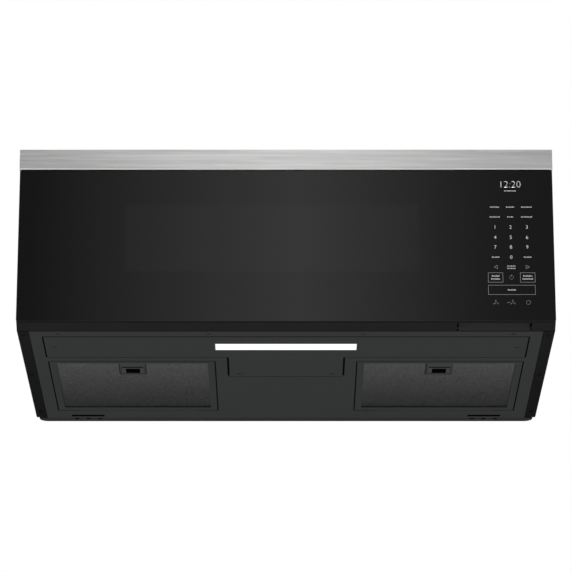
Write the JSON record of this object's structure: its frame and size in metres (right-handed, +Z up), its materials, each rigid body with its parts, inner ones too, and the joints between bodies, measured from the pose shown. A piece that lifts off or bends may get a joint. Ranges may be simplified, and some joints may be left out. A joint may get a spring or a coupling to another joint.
{
  "type": "over-the-range microwave oven",
  "caption": "Low-profile over-the-range microwave hood with full-width glass door, turntable oven, vent blower, grease filters and cooktop lamp.",
  "frame": {"origin": "middle of the underside of the box around the object", "axes": "+X to the right seen from the front, +Y back to the wall, +Z up"},
  "size_m": [0.759, 0.467, 0.26],
  "materials": {
    "black_paint": "black powder coat, slight texture",
    "charcoal_paint": "charcoal satin paint",
    "stainless": "horizontal brushed stainless",
    "galvanised": "galvanised sheet",
    "enamel": "light grey oven enamel",
    "black_glass": "gloss black printed tempered glass",
    "clear_glass": "clear tempered glass",
    "black_plastic": "black moulded plastic",
    "white_plastic": "white moulded plastic",
    "lens": "lit white diffuser",
    "filter_mesh": "expanded aluminium mesh",
    "aluminium": "aluminium",
    "board": "green circuit board",
    "dark_steel": "laminated motor and transformer steel",
    "mica": "mica sheet",
    "carbon": "activated carbon block"
  },
  "bodies": {
    "cabinet": {"outer_cabinet": "black_paint", "back_panel": "charcoal_paint", "base_pan": "charcoal_paint", "lamp_cover": "charcoal_paint", "lamp_lens": "lens", "lamp_housing": "white_plastic", "lamp_board": "board", "front_plate": "enamel", "plenum_deck": "galvanised", "bay_floor": "galvanised", "vent_trim": "stainless", "vent_grille": "black_plastic", "charcoal_filter": "carbon", "cavity_liner": "enamel", "waveguide_cover": "mica", "waveguide": "galvanised", "magnetron": "aluminium", "cavity_lamp": "white_plastic", "hv_transformer": "dark_steel", "hv_capacitor": "aluminium", "power_board": "board", "cooling_fan_duct": "black_plastic", "cord_gland": "black_plastic", "latch_board": "white_plastic", "switch_primary": "black_plastic", "switch_monitor": "black_plastic", "switch_secondary": "black_plastic", "cooling_fan_motor": "dark_steel", "turntable_motor": "galvanised", "blower_motor": "dark_steel", "blower_cradle": "galvanised", "blower_scroll_left": "galvanised", "blower_scroll_right": "galvanised", "hinge_bracket_bottom": "dark_steel", "hinge_bracket_top": "dark_steel"},
    "door": {"door_glass": "black_glass", "door_frame": "black_plastic", "door_inner_panel": "black_paint", "door_choke_cover": "black_plastic", "door_window_pane": "clear_glass", "touch_board": "board", "display_module": "black_plastic"},
    "door_latch": {"latch_hooks": "white_plastic"},
    "turntable": {"turntable_tray": "clear_glass", "turntable_coupler": "white_plastic"},
    "roller_carrier": {"roller_ring": "white_plastic"},
    "roller_a": {"roller_1": "white_plastic"},
    "roller_b": {"roller_2": "white_plastic"},
    "roller_c": {"roller_3": "white_plastic"},
    "blower_rotor": {"blower_wheel_left": "galvanised", "blower_wheel_right": "galvanised", "blower_shaft": "aluminium"},
    "cooling_fan": {"cooling_fan_blade": "black_plastic"},
    "left_filter": {"left_filter_frame": "charcoal_paint", "left_filter_mesh": "filter_mesh"},
    "left_catch": {"left_filter_catch": "black_plastic"},
    "right_filter": {"right_filter_frame": "charcoal_paint", "right_filter_mesh": "filter_mesh"},
    "right_catch": {"right_filter_catch": "black_plastic"}
  },
  "joints": [
    {"name": "door_hinge", "type": "hinge", "parent": "cabinet", "child": "door", "pos_m": [-0.372, -0.212, 0.11], "axis": [0, 0, -1], "range_deg": [0, 100]},
    {"name": "latch_slide", "type": "slide", "parent": "door", "child": "door_latch", "axis": [0, 0, 1], "range_m": [0, 0.004], "stiffness_N_per_m": 300, "springref_m": -0.002},
    {"name": "turntable_spin", "type": "hinge", "parent": "cabinet", "child": "turntable", "pos_m": [-0.02, -0.0289, 0.046], "axis": [0, 0, 1], "continuous": true},
    {"name": "roller_carrier_spin", "type": "hinge", "parent": "cabinet", "child": "roller_carrier", "pos_m": [-0.02, -0.0289, 0.046], "axis": [0, 0, 1], "continuous": true},
    {"name": "roller_a_spin", "type": "hinge", "parent": "roller_carrier", "child": "roller_a", "pos_m": [-0.02, 0.0631, 0.0543], "axis": [0, 1, 0], "continuous": true},
    {"name": "roller_b_spin", "type": "hinge", "parent": "roller_carrier", "child": "roller_b", "pos_m": [-0.09967, -0.0749, 0.0543], "axis": [-0.866, -0.5, 0], "continuous": true},
    {"name": "roller_c_spin", "type": "hinge", "parent": "roller_carrier", "child": "roller_c", "pos_m": [0.05967, -0.0749, 0.0543], "axis": [0.866, -0.5, 0], "continuous": true},
    {"name": "blower_spin", "type": "hinge", "parent": "cabinet", "child": "blower_rotor", "pos_m": [0, 0.1865, 0.076], "axis": [1, 0, 0], "continuous": true},
    {"name": "cooling_fan_spin", "type": "hinge", "parent": "cabinet", "child": "cooling_fan", "pos_m": [0.314, 0.14, 0.155], "axis": [0, 1, 0], "continuous": true},
    {"name": "left_filter_tilt", "type": "hinge", "parent": "cabinet", "child": "left_filter", "pos_m": [-0.223, 0.1778, 0], "axis": [1, 0, 0], "range_deg": [0, 75]},
    {"name": "left_catch_slide", "type": "slide", "parent": "left_filter", "child": "left_catch", "axis": [0, 1, 0], "range_m": [0, 0.005], "stiffness_N_per_m": 200, "springref_m": -0.003},
    {"name": "right_filter_tilt", "type": "hinge", "parent": "cabinet", "child": "right_filter", "pos_m": [0.223, 0.1778, 0], "axis": [1, 0, 0], "range_deg": [0, 75]},
    {"name": "right_catch_slide", "type": "slide", "parent": "right_filter", "child": "right_catch", "axis": [0, 1, 0], "range_m": [0, 0.005], "stiffness_N_per_m": 200, "springref_m": -0.003}
  ],
  "couplings": [
    {"joint": "roller_carrier_spin", "follows": "turntable_spin", "ratio": 0.5},
    {"joint": "roller_a_spin", "follows": "turntable_spin", "ratio": -5.75},
    {"joint": "roller_b_spin", "follows": "turntable_spin", "ratio": -5.75},
    {"joint": "roller_c_spin", "follows": "turntable_spin", "ratio": -5.75}
  ]
}
